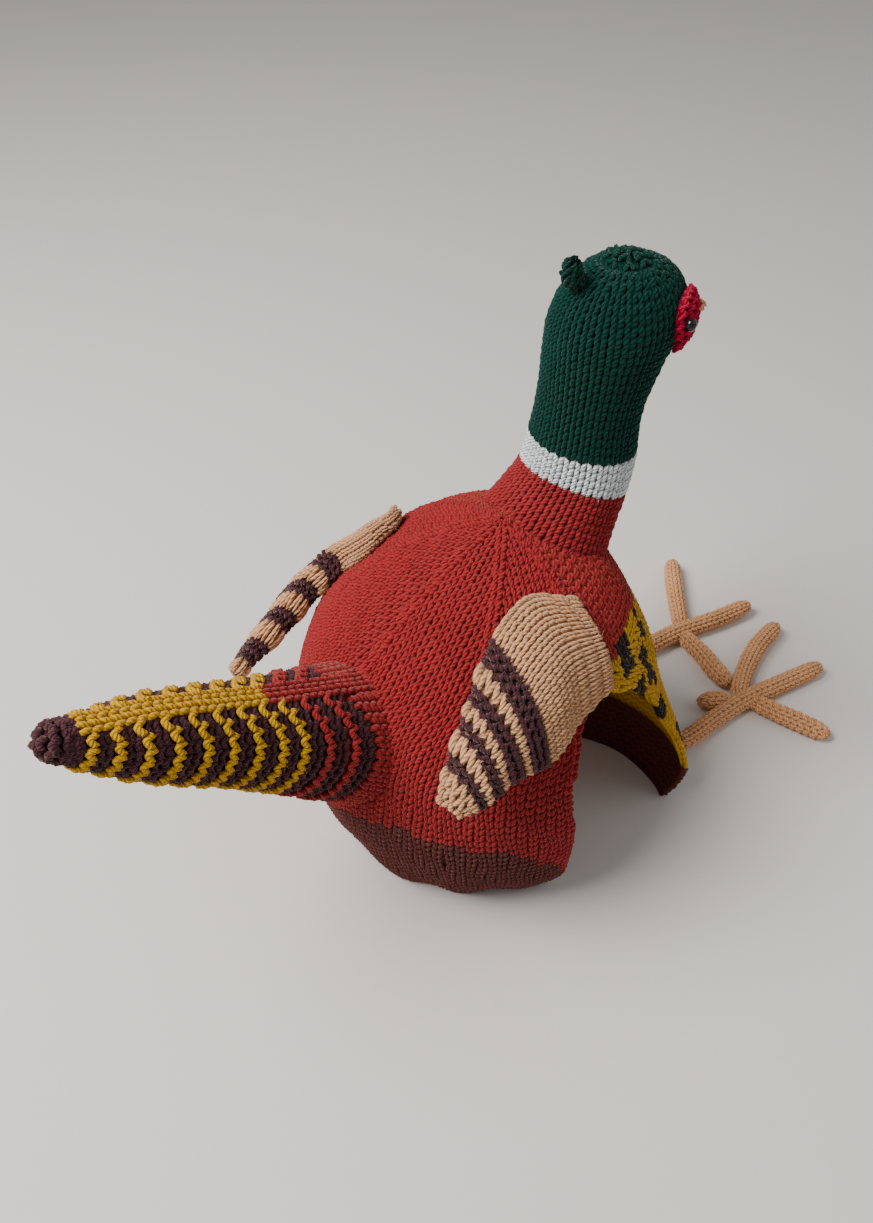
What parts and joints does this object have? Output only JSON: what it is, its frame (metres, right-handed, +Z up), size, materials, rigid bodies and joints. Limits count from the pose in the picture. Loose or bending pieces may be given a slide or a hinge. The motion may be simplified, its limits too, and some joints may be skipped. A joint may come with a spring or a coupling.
{
  "type": "knitted tea cosy",
  "caption": "Hand-knitted tea cosy shaped as a ring-necked pheasant, a hollow domed body with side slits for a pot's spout and handle, and stuffed neck and tail.",
  "frame": {"origin": "middle of the whole part in plan, on the surface that the hem rests on", "axes": "+X the way the bird faces, +Y to the bird's left, +Z up"},
  "size_m": [0.352, 0.1693, 0.2407],
  "materials": {
    "red_wool": "knitted wool, matt",
    "breast_wool": "knitted wool, mustard with dark flecks, matt",
    "green_wool": "knitted wool, matt",
    "barred_wool": "knitted wool in mustard and brown ridges, matt",
    "tan_wool": "knitted wool, matt",
    "crimson_wool": "crocheted wool, matt",
    "black_bead": "glossy",
    "beak_wool": "knitted wool, matt"
  },
  "bodies": {
    "root": {"back_panel": "red_wool", "front_panel": "breast_wool", "neck_and_head": "green_wool", "tail": "barred_wool", "wing_right": "tan_wool", "wing_left": "tan_wool", "face_patch_right": "crimson_wool", "face_patch_left": "crimson_wool", "eye_right": "black_bead", "eye_left": "black_bead", "beak": "beak_wool", "crest": "green_wool", "leg_right": "tan_wool", "leg_left": "tan_wool", "toe_right_inner": "tan_wool", "toe_right_outer": "tan_wool", "toe_right_back": "tan_wool", "toe_left_inner": "tan_wool", "toe_left_outer": "tan_wool"}
  },
  "joints": []
}
